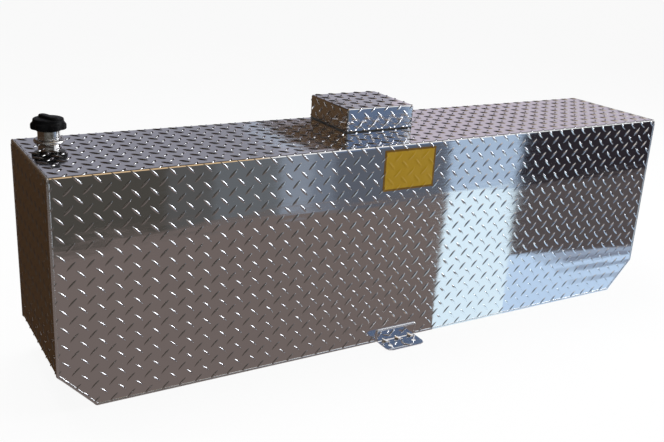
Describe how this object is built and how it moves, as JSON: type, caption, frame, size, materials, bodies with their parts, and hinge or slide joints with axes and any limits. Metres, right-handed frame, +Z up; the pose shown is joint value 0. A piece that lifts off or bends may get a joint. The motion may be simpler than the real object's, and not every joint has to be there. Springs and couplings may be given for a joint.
{
  "type": "auxiliary fuel tank",
  "caption": "Long tread-plate auxiliary fuel tank with cut lower corners, screw-capped filler neck, hinged cover over its gauge and outlet, and a welded foot.",
  "frame": {"origin": "on the floor, under the middle of the whole, foot and hinge counted", "axes": "+X along the tank to its right end seen from the front, +Y from the front to the back, +Z up"},
  "size_m": [1.5268, 0.3462, 0.515],
  "materials": {
    "tread_plate": "polished tread plate with raised lugs",
    "weld_metal": "rippled weld bead",
    "plain_aluminium": "polished",
    "black_plastic": "moulded, slightly glossy",
    "black_rubber": "matt",
    "float_foam": "closed-cell foam",
    "brass": "machined",
    "steel": "zinc plated",
    "clear_plastic": "clear",
    "white_enamel": "printed dial",
    "red_plastic": "matt",
    "filter_mesh": "woven mesh"
  },
  "bodies": {
    "tank": {"body_sheet": "tread_plate", "end_wrapper": "tread_plate", "front_seam_weld": "weld_metal", "back_seam_weld": "weld_metal", "left_top_weld": "weld_metal", "right_top_weld": "weld_metal", "baffle_left": "plain_aluminium", "baffle_right": "plain_aluminium", "filler_neck": "plain_aluminium", "neck_weld": "weld_metal", "cover_seal": "black_rubber", "hinge_tank_leaf": "steel", "hinge_pin": "steel", "tank_rivet_1": "steel", "tank_rivet_2": "steel", "tank_rivet_3": "steel", "gauge_gasket": "black_rubber", "gauge_flange": "steel", "gauge_screw_1": "steel", "gauge_screw_2": "steel", "gauge_screw_3": "steel", "gauge_screw_4": "steel", "gauge_screw_5": "steel", "gauge_dial": "white_enamel", "gauge_lens": "clear_plastic", "guide_rod_left": "steel", "guide_rod_right": "steel", "guide_foot": "steel", "outlet_bung": "plain_aluminium", "outlet_elbow": "brass", "pickup_tube": "plain_aluminium", "pickup_screen": "filter_mesh", "valve_body": "brass", "hose_barb": "brass", "vent_bung": "plain_aluminium", "vent_valve": "brass", "vent_cap": "black_plastic", "foot_bracket": "tread_plate", "foot_weld": "weld_metal"},
    "cap_disc": {"cap_disc": "black_plastic", "cap_gasket": "black_rubber"},
    "cap_shell": {"cap_shell": "black_plastic"},
    "cover": {"fittings_cover": "tread_plate", "hinge_cover_leaf": "steel", "cover_rivet_1": "steel", "cover_rivet_2": "steel", "cover_rivet_3": "steel"},
    "valve_handle": {"valve_ball": "steel", "valve_stem": "brass", "valve_lever": "steel", "lever_nut": "steel"},
    "float": {"float": "float_foam", "float_plate": "brass"},
    "pointer": {"twist_strip": "brass", "gauge_pointer": "red_plastic"}
  },
  "joints": [
    {"name": "cap_lift", "type": "slide", "parent": "tank", "child": "cap_disc", "axis": [0, 0, 1], "range_m": [0, 0.08]},
    {"name": "cap_turn", "type": "hinge", "parent": "cap_disc", "child": "cap_shell", "pos_m": [-0.696, 0.1322, 0.462], "axis": [0, 0, 1], "range_deg": [0, 1080]},
    {"name": "cover_hinge", "type": "hinge", "parent": "tank", "child": "cover", "pos_m": [0, 0.1703, 0.4635], "axis": [-1, 0, 0], "range_deg": [0, 110]},
    {"name": "valve_turn", "type": "hinge", "parent": "tank", "child": "valve_handle", "pos_m": [0.01, 0.1292, 0.486], "axis": [0, 0, 1], "range_deg": [0, 90]},
    {"name": "float_rise", "type": "slide", "parent": "tank", "child": "float", "axis": [0, 0, 1], "range_m": [0, 0.37]},
    {"name": "pointer_turn", "type": "hinge", "parent": "tank", "child": "pointer", "pos_m": [0, 0.0612, 0.47], "axis": [0, 0, -1], "range_deg": [0, 270.5]}
  ],
  "couplings": [
    {"joint": "pointer_turn", "follows": "float_rise", "rad_per_m": 12.736}
  ]
}
